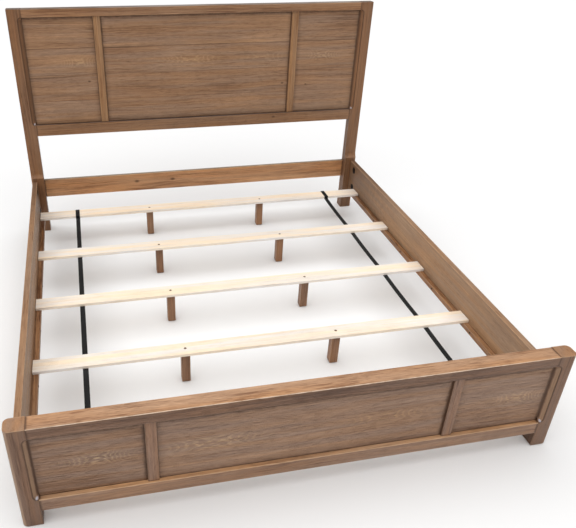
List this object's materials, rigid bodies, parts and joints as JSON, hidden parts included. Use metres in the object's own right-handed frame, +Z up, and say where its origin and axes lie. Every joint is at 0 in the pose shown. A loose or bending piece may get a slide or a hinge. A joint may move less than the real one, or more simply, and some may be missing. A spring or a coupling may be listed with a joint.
{
  "type": "wooden bed frame",
  "caption": "Wooden bed frame with a tall panelled headboard, a low panelled footboard, side rails, and pine slats on support legs joined by webbing straps.",
  "frame": {"origin": "on the floor, at the middle of the bed's footprint", "axes": "+Z up, +Y from the footboard to the headboard, +X to the right seen from the foot end; the footboard's front faces -Y"},
  "size_m": [2.002, 2.246, 1.262],
  "materials": {
    "oak_frame": "satin, brown stained open-grain oak",
    "oak_panel": "satin, brown stained flat-sawn oak",
    "oak_cleat": "satin, stained",
    "pine_slat": "raw planed pine",
    "brown_leg": "satin, stained",
    "strap_webbing": "woven charcoal webbing",
    "black_plastic": "matte moulded",
    "black_steel": "black oxide",
    "bronze_steel": "bronze coated",
    "zinc_steel": "zinc plated"
  },
  "bodies": {
    "frame": {"footboard_post_left": "oak_frame", "headboard_post_left": "oak_frame", "footboard_post_right": "oak_frame", "headboard_post_right": "oak_frame", "footboard_top_rail": "oak_frame", "footboard_bottom_rail": "oak_frame", "headboard_top_rail": "oak_frame", "headboard_lower_rail": "oak_frame", "headboard_stretcher": "oak_frame", "footboard_panel_left": "oak_panel", "footboard_panel_centre": "oak_panel", "footboard_panel_right": "oak_panel", "footboard_stile_left": "oak_frame", "footboard_stile_right": "oak_frame", "headboard_panel_left": "oak_panel", "headboard_panel_centre": "oak_panel", "headboard_panel_right": "oak_panel", "headboard_stile_left": "oak_frame", "headboard_stile_right": "oak_frame", "side_rail_left": "oak_frame", "slat_cleat_left": "oak_cleat", "side_rail_right": "oak_frame", "slat_cleat_right": "oak_cleat", "bed_bolts": "zinc_steel", "bed_bolt_inserts": "zinc_steel", "bolt_pocket_covers": "black_plastic", "cleat_screws": "black_steel"},
    "slat_roll": {"slat_1": "pine_slat", "support_leg_1_left": "brown_leg", "support_leg_1_right": "brown_leg", "slat_2": "pine_slat", "support_leg_2_left": "brown_leg", "support_leg_2_right": "brown_leg", "slat_3": "pine_slat", "support_leg_3_left": "brown_leg", "support_leg_3_right": "brown_leg", "slat_4": "pine_slat", "support_leg_4_left": "brown_leg", "support_leg_4_right": "brown_leg", "slat_5": "pine_slat", "support_leg_5_left": "brown_leg", "support_leg_5_right": "brown_leg", "leg_bolts": "bronze_steel", "slat_strap_left": "strap_webbing", "slat_strap_right": "strap_webbing"}
  },
  "joints": [
    {"name": "slat_roll_lift_out", "type": "slide", "parent": "frame", "child": "slat_roll", "axis": [0, 0, 1], "range_m": [0, 0.35]}
  ]
}
